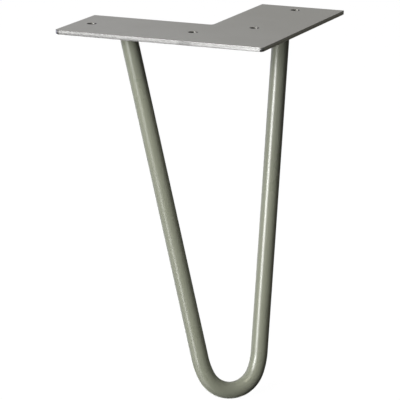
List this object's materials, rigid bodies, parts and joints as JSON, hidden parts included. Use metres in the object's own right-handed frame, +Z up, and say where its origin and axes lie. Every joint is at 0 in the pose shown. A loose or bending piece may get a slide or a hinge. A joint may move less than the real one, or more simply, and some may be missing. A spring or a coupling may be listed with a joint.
{
  "type": "hairpin table leg",
  "caption": "Hairpin table leg: a round bar bent double and welded under an L-shaped steel plate with screw holes, which fastens it under the corner of a table top.",
  "frame": {"origin": "on the plate's top face, which lies against the table top, where the centrelines of the plate's two arms cross", "axes": "+Z up through the table top; the left arm runs along -X and the right arm along +Y; the leg hangs down -Z and is symmetric about the vertical plane y = -x"},
  "size_m": [0.1206, 0.1206, 0.2032],
  "materials": {
    "plate_steel": "bare cold-rolled sheet, dull sheen",
    "rod_lacquer": "olive-grey lacquer, satin to semi-gloss",
    "weld_metal": "as welded, rippled"
  },
  "bodies": {
    "root": {"mounting_plate": "plate_steel", "hairpin_rod": "rod_lacquer", "left_weld_bead": "weld_metal", "right_weld_bead": "weld_metal"}
  },
  "joints": []
}
